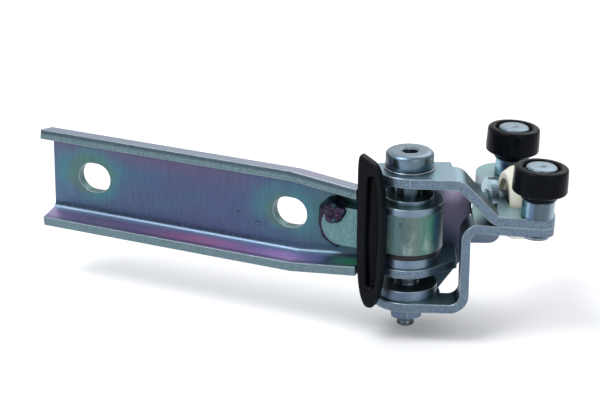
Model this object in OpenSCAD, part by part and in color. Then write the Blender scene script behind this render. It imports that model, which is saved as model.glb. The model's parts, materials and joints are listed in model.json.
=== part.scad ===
// Sliding door roller guide: a pressed channel arm that bolts to the door, and a
// pivoting carriage with two guide rollers and one load roller that run in the rail.
// The origin is midway between the two door slots, on the back face of the arm's web.
// X runs along the arm towards the pivot, Y points into the door, Z is up.

/* [Channel arm] */
// Overall height of the channel over its flange tips
arm_h = 35.6; // [30:0.1:44]
// Overall depth of the channel, from the back of the web to the flange tips
arm_depth = 11.3; // [9:0.1:15]
// Sheet thickness of the channel
arm_t = 3.3; // [2.5:0.1:4]
// Inside radius of the channel's two folds
arm_fold_r = 2; // [1:0.1:3]
// Outward lean of each flange in degrees
flange_flare = 9.8; // [0:0.1:14]
// Distance between the centres of the two door slots
slot_spacing = 76; // [60:0.5:90]
// Width of a door slot across the arm
slot_w = 10.6; // [8:0.1:13]
// Length of a door slot along the arm
slot_l = 12.6; // [11:0.1:18]
// Sheet beyond the centre of the outer door slot
end_margin = 16.4; // [12:0.1:24]
// Distance from the centre of the inner door slot to the start of the taper
taper_offset = 3; // [0:0.1:8]
// Angle at which each flange runs in towards the pivot, in degrees
taper_angle = 6.2; // [0:0.1:8]
// Distance from the inner door slot to the pivot axis
pivot_reach = 40; // [37:0.1:60]
// Distance from the end of the channel to the pivot axis
arm_end_gap = 12.3; // [12:0.1:14]

/* [Pivot knuckle] */
// Outside radius of the knuckle's barrel
barrel_r = 11.6; // [11:0.1:11.9]
// Height of the barrel and of its tongue
barrel_h = 13.5; // [10:0.1:16]
// Radius of the bore for the bushes
barrel_bore_r = 8.2; // [7:0.1:9]
// Thickness of the tongue that is welded to the channel
tongue_t = 4.5; // [3:0.1:6]
// Distance from the pivot axis to the centre of the tongue's round end
tongue_reach = 19.5; // [18.5:0.1:26]
// Leg of the weld bead round the tongue
weld_leg = 3.3; // [2:0.1:4]
// Longest reach of that bead to each side of the tongue's end, in degrees
weld_reach = 62; // [40:1:75]

/* [Rubber seal] */
// Height of the seal
seal_h = 53.7; // [44:0.1:58]
// Width of the seal along the arm
seal_w = 9.5; // [7:0.1:9.6]
// Depth of the seal in front of the tongue
seal_d = 4.4; // [3:0.1:6]
// Rise of the seal's middle above the middle of the arm
seal_rise = 1; // [0:0.1:3]
// Width of the slot in the seal's face
seal_slot_w = 4.2; // [3:0.1:5]
// Length of that slot
seal_slot_l = 38.6; // [30:0.1:42]
// Depth of that slot
seal_slot_d = 3; // [1:0.1:3.2]
// Distance of the slot's middle past the middle of the seal
seal_slot_shift = 0.6; // [0:0.1:1]
// Free space between the rubber and the end of the channel
seal_gap = 0.3; // [0.2:0.05:0.5]

/* [Bushes and rings] */
// Radius of the upper bush's flange
upper_flange_r = 11.7; // [10:0.1:11.9]
// Thickness of the upper bush's flange
upper_flange_t = 2.5; // [1.5:0.1:3.5]
// Radius of the lower bush's flange
lower_flange_r = 11; // [10:0.1:11.5]
// Thickness of the lower bush's flange
lower_flange_t = 2; // [1:0.1:3]
// Gap between the two bushes inside the barrel
bush_split = 1; // [0.5:0.1:3]
// Radius of the thrust ring on the upper bush
thrust_r = 8.4; // [7.5:0.1:10]
// Thickness of the thrust ring
thrust_t = 1.6; // [1:0.1:2.5]
// Radius of the spacer under the lower bush
spacer_r = 10.4; // [8:0.1:11]
// Thickness of that spacer
spacer_t = 3.5; // [2:0.1:5]

/* [Pivot bolt] */
// Radius of the bolt's shank
shank_r = 4.6; // [4:0.05:5]
// Running clearance between the shank and what turns on it
run_gap = 0.05; // [0.02:0.01:0.09]
// Radius of the bolt head
bolt_head_r = 8; // [7:0.1:9]
// Height of the bolt head
bolt_head_h = 5.4; // [4:0.1:8]
// Chamfer on the bolt head's rim
bolt_head_chamfer = 0.9; // [0.4:0.1:1.4]
// Width across flats of the hexagon socket in the head
socket_af = 5; // [4:0.1:6]
// Depth of the hexagon socket
socket_depth = 3; // [2:0.1:3.5]
// Radius of the washer under the head
washer_r = 8.4; // [8:0.1:9]
// Thickness of that washer
washer_t = 0.8; // [0.5:0.1:1.5]
// Radius of the coarse thread below the jaw
thread_r = 4.4; // [3.8:0.05:4.6]
// Radius of the thin thread that holds the nut
tip_r = 3; // [2.5:0.05:3.4]
// Length of thread beyond the nut
tip_spare = 3; // [1:0.1:5]
// Width across flats of the nut
nut_af = 10; // [9:0.1:12]
// Height of the nut
nut_h = 6.2; // [5.6:0.1:8]
// Height of the nut's hexagon
nut_hex_h = 5.3; // [3:0.1:5.5]
// Radius of the small end of the nut's conical collar
nut_tip_r = 3.8; // [3.6:0.1:4.4]
// Radius of the clamp disc on the lower leg
disc_r = 10.2; // [8:0.1:11]
// Thickness of the clamp disc
disc_t = 3.7; // [2.5:0.1:5]

/* [Upper bracket] */
// Sheet thickness of the upper bracket
upper_t = 3.3; // [2.5:0.1:4]
// Free length of shank between the thrust ring and the top plate
shank_free = 5.7; // [3:0.1:8]
// Radius of the top plate's round end, about the pivot axis
top_end_r = 11; // [9:0.1:11.6]
// Distance from the pivot axis to the fold where the slope starts
slope_start = 17.2; // [15:0.1:18.5]
// Inside radius of the fold at the foot of the slope
slope_fold_r = 3.3; // [1.5:0.1:4]
// Angle of the slope below level, in degrees
slope_angle = 45.6; // [42:0.1:50]
// Drop from the top plate to the roller plate
slope_drop = 12.2; // [10.5:0.1:14]
// Depth of the sloping strip behind the pivot axis
slope_back = 2; // [1:0.1:4]
// Distance from the pivot axis forward to the back edge of the slope's foot
foot_front = 5.2; // [0:0.1:6]
// Outside radius of the fold behind the top plate
web_fold_r = 11; // [8:0.1:11.5]
// Distance from the pivot axis to the front of the rear web
web_reach = 12.4; // [12.2:0.1:15]
// Distance that the rear web reaches left of the pivot axis
web_left = 8; // [4:0.1:8.5]
// Distance that the rear web reaches right of the pivot axis
web_right = 19; // [18:0.1:20]
// Distance that the rear web's right edge leans out towards its top
web_lean = 2.6; // [0:0.1:3]
// Width of the cut across the rear web's lower corners
web_cut_w = 8.5; // [3:0.1:9]
// Height of the cut across the rear web's lower corners
web_cut_h = 12; // [6:0.1:14]
// Distance that the rear web hangs below the lower leg
web_drop = 2; // [0:0.1:4]
// Space between the rear web and the lower leg's end
web_gap = 0.4; // [0.2:0.1:1]
// Thickness of the jaw plate below the barrel
jaw_t = 2.8; // [2:0.1:3.5]
// Radius of the jaw's round end
jaw_r = 11.2; // [9:0.1:11.6]
// Space between the jaw's corner and the lower bracket's wall
jaw_gap = 0.6; // [0.4:0.1:2]
// Length of the tack weld under the jaw
jaw_weld_l = 5.6; // [3:0.1:8]

/* [Lower bracket] */
// Sheet thickness of the lower bracket
lower_t = 3; // [2.5:0.1:4]
// Distance from the pivot axis to the inner face of the upright wall
wall_x = 17.2; // [16.8:0.1:18]
// Depth of the upright wall
wall_d = 10.6; // [8:0.1:11]
// Height of the gap between the jaw and the clamp disc
jaw_drop = 5.2; // [4:0.1:8]
// Inside radius of the lower fold
lower_fold_r = 3.5; // [2:0.1:5]
// Inside radius of the upper fold
upper_fold_r = 2.7; // [1.5:0.1:4]
// Length of the down-turned skirt at the rear
skirt_l = 10; // [8:0.1:12]
// Drop of that skirt below the plate
skirt_h = 10; // [6:0.1:12]
// Rounding of the skirt's lower right corner
skirt_r = 4; // [1:0.1:6]
// Distance of the skirt behind the pivot axis
skirt_y = 6; // [4:0.1:6.4]

/* [Roller plate] */
// Turn of the roller line away from the carriage's depth axis, in degrees
roller_turn = 8.8; // [6:0.1:10]
// Tilt of the roller plate towards its free end, in degrees
roller_tilt = 2.5; // [1:0.1:4]
// Distance from the pivot axis to the middle of the roller line
roller_x = 38.7; // [37.5:0.1:40]
// Distance of that middle behind the pivot axis
roller_y = 11; // [10:0.1:12]
// Distance between the two guide roller axes
roller_spacing = 40; // [39.2:0.1:44]
// Distance of the front edge before the pivot axis
front_edge = 11.3; // [11:0.1:12]
// Run of the front edge away from square, in degrees
front_turn = 2; // [0:0.1:3]
// Radius of the plate's front right corner
corner_r = 5; // [3:0.1:6]
// Sheet left round the rear guide roller's stem
lobe_margin = 6.4; // [5:0.1:7]
// Sheet left beside the front guide roller's stem
side_margin = 0.7; // [0.3:0.1:3]

/* [Guide rollers] */
// Radius of a guide roller at its top rim
guide_r = 8.9; // [8:0.1:10]
// Extra radius of a guide roller at its lower rim
guide_taper = 0.2; // [0:0.05:0.5]
// Height of a guide roller's rim
guide_h = 9.4; // [8:0.1:12]
// Radius of the hub below the rim
guide_hub_r = 6; // [5.5:0.1:7]
// Height of that hub
guide_hub_h = 1.5; // [0.5:0.1:3]
// Rounding of a guide roller's rims
guide_edge_r = 0.8; // [0.3:0.1:1.2]
// Depth of the recess round the rivet head
guide_recess = 1.6; // [1.4:0.1:2.5]
// Radius of a roller stem
stem_r = 5.4; // [4.8:0.1:5.6]
// Height of a roller stem
stem_h = 6.1; // [4:0.1:8]
// Radius of the stem's neck inside the roller
neck_r = 3; // [2.5:0.05:3.2]
// Radius of the rivet head on a guide roller
rivet_r = 5.15; // [4.6:0.05:5.6]
// Thickness of that rivet head
rivet_t = 1.5; // [1:0.1:2]
// Radius of the stem's tail in the plates
tail_r = 3.6; // [3:0.1:4]
// Radius of the head riveted below the plates
tail_head_r = 5; // [4.2:0.1:5.6]
// Thickness of the head riveted below the plates
tail_head_t = 0.9; // [0.5:0.1:1.5]
// Wall of the bush inside a roller
bush_wall = 1.2; // [0.8:0.1:1.5]
// Free space above and below a roller
end_play = 0.15; // [0.1:0.05:0.3]

/* [Load roller] */
// Radius of the load roller
load_r = 12.4; // [11:0.1:12.8]
// Width of the load roller
load_w = 9; // [7:0.1:9.4]
// Height of the load roller's axis above the underside of the lower plate
load_axis_h = 3.4; // [2.5:0.1:4.5]
// Radius of the round recess in the load roller's side
load_recess_r = 8; // [6.5:0.1:9]
// Depth of that recess
load_recess = 1.6; // [0.5:0.1:2.5]
// Rounding of the load roller's rims
load_edge_r = 1.3; // [0.5:0.1:2]
// Distance between the load roller and the axle plate
load_gap = 3; // [2:0.1:5]
// Distance of the load roller's middle from the roller line, towards the pivot
load_shift = 2.2; // [0:0.1:3]
// Thickness of the axle plate
axle_plate_t = 2.9; // [2:0.1:3.5]
// Radius of the axle plate
axle_plate_r = 8.5; // [7:0.1:9]
// Free space between the load roller and the plates round it
load_clear = 0.5; // [0.5:0.1:1]
// Radius of the axle's two heads
axle_head_r = 4.4; // [4:0.1:5]
// Thickness of the axle's two heads
axle_head_t = 1.4; // [1:0.1:2]

/* [Pose] */
// Angle of the carriage to the arm as modelled, in degrees
rest_angle = 24; // [15:1:30]

/* [Hidden] */
$fn = 72;
big = 200;
overlap = 0.5;
fold_steps = 10;

// Arm places
pivot_x = slot_spacing/2 + pivot_reach;
pivot_y = barrel_r - tongue_t - arm_t;
arm_left = -slot_spacing/2 - end_margin;
arm_right = pivot_x - arm_end_gap;
taper_x = slot_spacing/2 + taper_offset;
fold_z = arm_h/2 - arm_depth*tan(flange_flare);
flange_l = arm_depth/cos(flange_flare);
seal_x = arm_right + seal_gap + seal_w/2;
seal_y = -arm_t - tongue_t;
seal_power = 2.5;
seal_corner_power = 12;
seal_slant = 0.55;
seal_steps = 48;
weld_room = fold_z - arm_t - arm_fold_r - (arm_right - taper_x)*tan(taper_angle)/2;
weld_r = barrel_h/2 + weld_leg;
weld_side = asin(min(sin(weld_reach), weld_room/weld_r));

// Heights of the pivot stack
upper_flange_z = barrel_h/2 + upper_flange_t;
thrust_z = upper_flange_z + thrust_t;
top_under = thrust_z + shank_free;
top_z = top_under + upper_t;
head_z = top_z + washer_t;
lower_flange_z = -barrel_h/2 - lower_flange_t;
jaw_top = lower_flange_z - spacer_t;
jaw_under = jaw_top - jaw_t;
disc_top = jaw_under - jaw_drop;
leg_top = disc_top - disc_t;
leg_under = leg_top - lower_t;
nut_under = leg_under - nut_h;
bush_bore_r = shank_r + run_gap;

// Bracket places, in the carriage's own frame about the pivot axis
slope_end = slope_start + slope_drop/tan(slope_angle);
plate_z = top_z - slope_drop;
plate_mid_z = plate_z - (roller_x - slope_end)*tan(roller_tilt);
web_fold_y = web_reach + upper_t - web_fold_r;
web_bottom = leg_under - web_drop;
wall_back = wall_d - front_y(wall_x);
lobe_r = stem_r + lobe_margin;
front_stem = roller_point(-1);
rear_stem = roller_point(1);
plate_right = front_stem[0] + stem_r + side_margin;
lower_left = wall_x + lower_t + 1;

// Roller sizes, measured up from the roller plate
guide_z = stem_h + end_play;
rim_z = guide_z + guide_hub_h;
rim_top = rim_z + guide_h;
recess_z = rim_top - guide_recess;
neck_top = recess_z + end_play;
guide_bore_r = neck_r + run_gap + bush_wall;
tail_z = -upper_t - lower_t;
load_z = tail_z + load_axis_h;
axle_plate_x = -load_w/2 - load_gap - axle_plate_t;
axle_head_x = load_w/2 + end_play;
rim_steps = 6;

function front_y(x) = front_edge + x*tan(front_turn);
function roller_point(side) = [roller_x - side*sin(roller_turn)*roller_spacing/2,
    roller_y + side*cos(roller_turn)*roller_spacing/2];

// Points of a folded strip: the path of one face, its fold radii and the sheet thickness,
// which lies to the left of the path. A fold's radius is that of the path's own face.
function unit(v) = v/norm(v);
function left_of(v) = [-v[1], v[0]];
function turn_of(a, b) = atan2(a[0]*b[1] - a[1]*b[0], a*b);
function fold_points(p, d1, d2, r) =
    let (turn = turn_of(d1, d2), side = sign(turn), reach = r*tan(abs(turn)/2),
        centre = p - d1*reach + side*r*left_of(d1))
    [for (i = [0:fold_steps]) let (a = turn*i/fold_steps)
        centre - side*r*(left_of(d1)*cos(a) - d1*sin(a))];
function strip_side(path, radii, shift) =
    let (n = len(path), d = [for (i = [0:n - 2]) unit(path[i + 1] - path[i])])
    [for (i = [0:n - 1])
        if (i == 0) [path[0] + left_of(d[0])*shift]
        else if (i == n - 1) [path[i] + left_of(d[i - 1])*shift]
        else let (s = sign(turn_of(d[i - 1], d[i])), m = left_of(d[i - 1]) + left_of(d[i]),
            p = path[i] + m*shift*2/(m*m))
            fold_points(p, d[i - 1], d[i], radii[i - 1] - s*shift)];
function flat_list(l) = [for (a = l) for (b = a) b];
function reversed(l) = [for (i = [len(l) - 1:-1:0]) l[i]];
function strip(path, radii, t) = concat(flat_list(strip_side(path, radii, 0)),
    reversed(flat_list(strip_side(path, radii, t))));

module at_pivot() translate([pivot_x, pivot_y, 0]) children();
module at_carriage() at_pivot() rotate([0, 0, rest_angle]) children();
module at_plate() at_carriage() translate([roller_x, roller_y, plate_mid_z])
    rotate([0, roller_tilt, 0]) children();
module at_rollers() at_plate() rotate([0, 0, roller_turn]) children();
module at_guide(side) at_rollers() translate([0, side*roller_spacing/2, 0]) children();
module at_axle() at_rollers() translate([-load_shift, 0, load_z]) rotate([0, 90, 0]) children();

// A ring about Z from z0 to z1
module ring(r, bore, z0, z1) difference() {
    translate([0, 0, z0]) cylinder(r = r, h = z1 - z0);
    translate([0, 0, z0 - overlap]) cylinder(r = bore, h = z1 - z0 + 2*overlap);
}

// A profile given as [depth, height] points, run along X from x0 to x1
module run_along_x(points, x0, x1) translate([x0, 0, 0]) rotate([90, 0, 90])
    linear_extrude(x1 - x0) polygon(points);

// A profile given as [length, height] points, run along Y from y0 to y1
module run_along_y(points, y0, y1) translate([0, y1, 0]) rotate([90, 0, 0])
    linear_extrude(y1 - y0) polygon(points);

// Upper half of the channel's section
half_section = strip([[0, -overlap], [0, fold_z],
    [-arm_depth, fold_z + arm_depth*tan(flange_flare)]], [arm_fold_r + arm_t], arm_t);

module arm_half() {
    intersection() {
        run_along_x(half_section, arm_left, taper_x + arm_h);
        translate([taper_x, 0, 0]) rotate([0, taper_angle/2, 0])
            translate([-big, -big/2, -big/2]) cube([big, big, big]);
    }
    difference() {
        translate([taper_x, 0, 0]) rotate([0, taper_angle, 0])
            run_along_x(half_section, -arm_h, arm_right - taper_x + arm_h);
        translate([taper_x, 0, 0]) rotate([0, taper_angle/2, 0])
            translate([-big, -big/2, -big/2]) cube([big, big, big]);
        translate([arm_right, -big/2, -big/2]) cube([big, big, big]);
    }
}

module slot_cut(x) translate([x, overlap, 0]) rotate([90, 0, 0]) {
    for (side = [-1, 1]) translate([side*(slot_l - slot_w)/2, 0, 0])
        cylinder(d = slot_w, h = arm_t + 2*overlap);
    translate([-(slot_l - slot_w)/2, -slot_w/2, 0])
        cube([slot_l - slot_w, slot_w, arm_t + 2*overlap]);
}

module channel_arm() color("lightslategray") difference() {
    union() {
        arm_half();
        mirror([0, 0, 1]) arm_half();
    }
    for (side = [-1, 1]) slot_cut(side*slot_spacing/2);
}

module pivot_knuckle() color("darkseagreen") difference() {
    union() {
        at_pivot() translate([0, 0, -barrel_h/2]) cylinder(r = barrel_r, h = barrel_h);
        translate([pivot_x - tongue_reach, -arm_t, 0]) rotate([90, 0, 0])
            cylinder(r = barrel_h/2, h = tongue_t);
        translate([pivot_x - tongue_reach, -arm_t - tongue_t, -barrel_h/2])
            cube([tongue_reach, tongue_t, barrel_h]);
    }
    at_pivot() cylinder(r = barrel_bore_r, h = 2*barrel_h, center = true);
}

// Weld bead: a sloping fillet round the tongue's free end, as far as the channel's folds allow
module tongue_weld() color("mediumpurple")
    translate([pivot_x - tongue_reach, -arm_t, 0]) rotate([90, 0, 0])
        rotate([0, 0, 180 - weld_side]) rotate_extrude(angle = 2*weld_side)
            polygon([[barrel_h/2, 0], [weld_r, 0], [barrel_h/2, weld_leg]]);

// Rim of the seal as [length, height] points: rounded, with a squarer corner at the top left,
// from which the top slants down to the right
function seal_rim() = [for (i = [0:seal_steps - 1]) let (a = 360*i/seal_steps,
    n = a > 90 && a < 180 ? seal_corner_power : seal_power)
    let (x = sign(cos(a))*pow(abs(cos(a)), 2/n)*seal_w/2, z = sign(sin(a))*pow(abs(sin(a)), 2/n)*seal_h/2)
    [x, z - max(z, 0)*2/seal_h*seal_slant*(x + seal_w/2)]];

module rubber_seal() color("black") translate([seal_x, seal_y, seal_rise]) difference() {
    run_along_y(seal_rim(), -seal_d, 0);
    translate([seal_slot_shift, 0, 0]) rotate([90, 0, 0]) {
        for (side = [-1, 1]) translate([0, side*(seal_slot_l - seal_slot_w)/2, seal_d - seal_slot_d])
            cylinder(d = seal_slot_w, h = seal_d);
        translate([-seal_slot_w/2, -(seal_slot_l - seal_slot_w)/2, seal_d - seal_slot_d])
            cube([seal_slot_w, seal_slot_l - seal_slot_w, seal_d]);
    }
}

module flanged_bush(flange_r, flange_t) {
    ring(barrel_bore_r, bush_bore_r, bush_split/2, barrel_h/2);
    ring(flange_r, bush_bore_r, barrel_h/2, barrel_h/2 + flange_t);
}

module upper_bush() color("silver") at_pivot() flanged_bush(upper_flange_r, upper_flange_t);

module lower_bush() color("dimgray") at_pivot() mirror([0, 0, 1])
    flanged_bush(lower_flange_r, lower_flange_t);

module thrust_ring() color("gainsboro") at_carriage()
    ring(thrust_r, shank_r, upper_flange_z, thrust_z);

module spacer_ring() color("gainsboro") at_carriage()
    ring(spacer_r, shank_r, jaw_top, lower_flange_z);

module pivot_bolt() color("silver") at_carriage() difference() {
    rotate_extrude() polygon([[0, head_z + bolt_head_h],
        [bolt_head_r - bolt_head_chamfer, head_z + bolt_head_h],
        [bolt_head_r, head_z + bolt_head_h - bolt_head_chamfer], [bolt_head_r, head_z],
        [shank_r, head_z], [shank_r, jaw_under], [thread_r, jaw_under], [thread_r, leg_top],
        [tip_r, leg_top], [tip_r, nut_under - tip_spare + tip_r/3],
        [tip_r*2/3, nut_under - tip_spare], [0, nut_under - tip_spare]]);
    translate([0, 0, head_z + bolt_head_h - socket_depth])
        cylinder(d = socket_af/cos(30), h = socket_depth + overlap, $fn = 6);
}

module head_washer() color("gainsboro") at_carriage() ring(washer_r, shank_r, top_z, head_z);

module clamp_disc() color("lightsteelblue") at_carriage() ring(disc_r, thread_r, leg_top, disc_top);

// Hexagon nut with a conical lower collar
module pivot_nut() color("silver") at_carriage() difference() {
    union() {
        translate([0, 0, leg_under - nut_hex_h]) cylinder(d = nut_af/cos(30), h = nut_hex_h, $fn = 6);
        translate([0, 0, nut_under]) cylinder(r1 = nut_tip_r, r2 = nut_af/2 - overlap/2,
            h = nut_h - nut_hex_h + overlap);
    }
    translate([0, 0, nut_under - overlap]) cylinder(r = tip_r, h = nut_h + 2*overlap);
}

// Outline of the roller plates seen from above, with its left edge at a given place
module plate_outline(left) {
    translate(rear_stem) circle(r = lobe_r);
    translate([plate_right - corner_r, corner_r - front_y(plate_right - corner_r)])
        circle(r = corner_r);
    polygon([[left, -front_y(left)], [plate_right - corner_r, -front_y(plate_right - corner_r)],
        [plate_right, corner_r - front_y(plate_right - corner_r)],
        [plate_right, rear_stem[1] - corner_r], [rear_stem[0], rear_stem[1]],
        [rear_stem[0] - lobe_r, rear_stem[1]], [left, slope_back]]);
}

// Openings for the load roller, its axle and the axle plate
module roller_window() rotate([0, 0, roller_turn]) translate([-load_shift, 0]) {
    half = load_r + load_clear;
    translate([-load_w/2 - load_clear, -half]) square([load_w + 2*load_clear, 2*half]);
    translate([axle_plate_x, -axle_plate_r]) square([axle_plate_t, 2*axle_plate_r]);
    translate([axle_plate_x - axle_head_t - load_clear, -axle_head_r - load_clear])
        square([axle_head_x + axle_head_t + 2*load_clear - axle_plate_x + axle_head_t,
            2*(axle_head_r + load_clear)]);
}

module stem_holes() for (side = [-1, 1])
    rotate([0, 0, roller_turn]) translate([0, side*roller_spacing/2, -big/2])
        cylinder(r = tail_r, h = big);

// A roller plate of thickness t, whose top lies z below the upper plate's top
module roller_plate(left, z, t) translate([roller_x, roller_y, plate_mid_z])
    rotate([0, roller_tilt, 0]) translate([0, 0, -z - t]) difference() {
        linear_extrude(t) translate([-roller_x, -roller_y]) plate_outline(left);
        stem_holes();
    }

module window_cut() translate([roller_x, roller_y, plate_mid_z]) rotate([0, roller_tilt, 0])
    translate([0, 0, 2*tail_z]) linear_extrude(-3*tail_z) roller_window();

// Rear web outline as [length, height] points
function web_outline() = [[-web_left, web_bottom + web_cut_h], [-web_left + web_cut_w, web_bottom],
    [web_right - web_cut_w, web_bottom], [web_right, web_bottom + web_cut_h],
    [web_right, -barrel_h/2], [web_right + web_lean, 0],
    [web_right + web_lean, top_z - web_fold_r], [-web_left, top_z - web_fold_r]];

module upper_bracket() color("slategray") at_carriage() {
    slope_path = [[slope_end + upper_t, plate_z - upper_t*tan(roller_tilt)], [slope_end, plate_z],
        [slope_start, top_z], [0, top_z]];
    web_path = [[web_reach + upper_t, 0], [web_reach + upper_t, top_z], [0, top_z]];
    fold_right = slope_start - upper_t;
    difference() {
        union() {
            difference() {
                translate([0, 0, top_under]) cylinder(r = top_end_r, h = upper_t);
                translate([-big/2, web_fold_y, 0]) cube([big, big, big]);
            }
            translate([0, 0, top_under]) linear_extrude(upper_t)
                polygon([[0, -front_y(0)], [fold_right + overlap, -front_y(fold_right + overlap)],
                    [fold_right + overlap, slope_back], [fold_right, web_fold_y],
                    [-web_left, web_fold_y], [-web_left, 0]]);
            intersection() {
                run_along_y(strip(slope_path, [slope_fold_r, slope_fold_r + upper_t], upper_t),
                    -big/2, slope_back);
                translate([fold_right, 0, -big/2]) linear_extrude(big)
                    polygon([[0, -front_y(fold_right)], [big, -front_y(fold_right + big)],
                        [big, -foot_front], [slope_end - fold_right, -foot_front],
                        [slope_start - fold_right, slope_back], [0, slope_back]]);
            }
            intersection() {
                run_along_x(strip(web_path, [web_fold_r], upper_t), -web_left, fold_right);
                translate([-big/2, web_fold_y, 0]) cube([big, big, big]);
            }
            run_along_y(web_outline(), web_reach, web_reach + upper_t);
            roller_plate(slope_end, 0, upper_t);
        }
        cylinder(r = shank_r, h = big, center = true);
        window_cut();
    }
}

module jaw_plate() color("lightslategray") at_carriage() {
    corner = [wall_x - jaw_gap, wall_back + jaw_gap];
    tangent = atan2(corner[1], corner[0]) - acos(jaw_r/norm(corner));
    difference() {
        translate([0, 0, jaw_under]) linear_extrude(jaw_t) {
            circle(r = jaw_r);
            polygon([[0, 0], jaw_r*[cos(tangent), sin(tangent)], corner, [corner[0], web_reach],
                [-web_left, web_reach], [-web_left, 0]]);
        }
        cylinder(r = shank_r, h = big, center = true);
    }
}

// Tack weld that joins the jaw's underside to the rear web
module jaw_weld() color("gainsboro") at_carriage()
    translate([web_right - web_cut_w, web_reach, jaw_under]) rotate([0, 90, 0])
        linear_extrude(jaw_weld_l) polygon([[0, 0], [0, -weld_leg], [weld_leg, 0]]);

module lower_bracket() color("lightslategray") at_carriage() {
    flange_under = plate_z - upper_t - lower_t + (slope_end - wall_x - lower_t)*tan(roller_tilt);
    path = [[0, leg_under], [wall_x + lower_t, leg_under], [wall_x + lower_t, flange_under],
        [slope_end + lower_t, plate_z - upper_t - lower_t - lower_t*tan(roller_tilt)]];
    difference() {
        union() {
            intersection() {
                translate([0, 0, leg_under]) cylinder(r = front_edge, h = lower_t);
                translate([-big/2, web_reach - web_gap - big, -big/2]) cube([big, big, big]);
            }
            intersection() {
                run_along_y(strip(path, [lower_fold_r + lower_t, upper_fold_r], lower_t),
                    -big/2, wall_back);
                translate([0, 0, -big/2]) linear_extrude(big)
                    polygon([[0, -front_y(0)], [big, -front_y(big)], [big, big], [0, big]]);
            }
            roller_plate(lower_left, upper_t, lower_t);
            translate([lower_left, 0, plate_z - upper_t - lower_t - skirt_h])
                run_along_y(concat([[skirt_l, skirt_h + lower_t/2], [0, skirt_h + lower_t/2], [0, 0]],
                    quarter([skirt_l - skirt_r, skirt_r], skirt_r, -90)), skirt_y, skirt_y + lower_t);
        }
        cylinder(r = tip_r, h = big, center = true);
        window_cut();
    }
}

module axle_plate() color("gainsboro") at_axle() difference() {
    translate([0, 0, axle_plate_x]) cylinder(r = axle_plate_r, h = axle_plate_t);
    translate([0, 0, axle_plate_x - overlap]) cylinder(r = neck_r, h = axle_plate_t + 2*overlap);
}

module roller_stem(side) at_guide(side) rotate_extrude() polygon([[0, tail_z - tail_head_t],
    [tail_head_r, tail_z - tail_head_t], [tail_head_r, tail_z], [tail_r, tail_z], [tail_r, 0],
    [stem_r, 0], [stem_r, stem_h], [neck_r, stem_h], [neck_r, neck_top], [rivet_r, neck_top],
    [rivet_r, neck_top + rivet_t], [0, neck_top + rivet_t]]);

module front_roller_stem() color("silver") roller_stem(-1);
module rear_roller_stem() color("silver") roller_stem(1);

function quarter(centre, r, from) = [for (i = [0:rim_steps]) let (a = from + 90*i/rim_steps)
    centre + r*[cos(a), sin(a)]];

module guide_roller(side) at_guide(side) rotate_extrude() polygon(concat(
    [[guide_bore_r, guide_z], [guide_hub_r, guide_z], [guide_hub_r, rim_z]],
    quarter([guide_r + guide_taper - guide_edge_r, rim_z + guide_edge_r], guide_edge_r, -90),
    quarter([guide_r - guide_edge_r, rim_top - guide_edge_r], guide_edge_r, 0),
    [[rivet_r + 1, rim_top], [rivet_r + 1, recess_z], [guide_bore_r, recess_z]]));

module front_guide_roller() color("black") guide_roller(-1);
module rear_guide_roller() color("black") guide_roller(1);

module roller_bush(side) at_guide(side)
    ring(guide_bore_r, neck_r + run_gap, guide_z, recess_z);

module front_roller_bush() color("peru") roller_bush(-1);
module rear_roller_bush() color("peru") roller_bush(1);

module load_roller_axle() color("silver") at_axle() rotate_extrude() polygon([
    [0, axle_plate_x - axle_head_t], [axle_head_r, axle_plate_x - axle_head_t],
    [axle_head_r, axle_plate_x], [neck_r, axle_plate_x], [neck_r, axle_head_x],
    [axle_head_r, axle_head_x], [axle_head_r, axle_head_x + axle_head_t],
    [0, axle_head_x + axle_head_t]]);

module load_roller() color("cornsilk") at_axle() rotate_extrude() polygon(concat(
    [[guide_bore_r, load_recess - load_w/2], [load_recess_r, load_recess - load_w/2],
    [load_recess_r, -load_w/2]],
    quarter([load_r - load_edge_r, load_edge_r - load_w/2], load_edge_r, -90),
    quarter([load_r - load_edge_r, load_w/2 - load_edge_r], load_edge_r, 0),
    [[guide_bore_r, load_w/2]]));

module load_roller_bush() color("peru") at_axle()
    ring(guide_bore_r, neck_r + run_gap, load_recess - load_w/2, load_w/2);

// Distance sleeve that keeps the load roller off the axle plate
module load_roller_spacer() color("silver") at_axle()
    ring(guide_bore_r, neck_r, axle_plate_x + axle_plate_t, load_recess - load_w/2 - end_play);

channel_arm();
pivot_knuckle();
tongue_weld();
rubber_seal();
upper_bush();
lower_bush();
thrust_ring();
spacer_ring();
pivot_bolt();
head_washer();
clamp_disc();
pivot_nut();
upper_bracket();
jaw_plate();
jaw_weld();
lower_bracket();
axle_plate();
front_roller_stem();
rear_roller_stem();
front_guide_roller();
rear_guide_roller();
front_roller_bush();
rear_roller_bush();
load_roller_axle();
load_roller();
load_roller_bush();
load_roller_spacer();
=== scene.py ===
import json
import bmesh
import bpy
import numpy as np
from mathutils import Matrix, Vector


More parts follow.
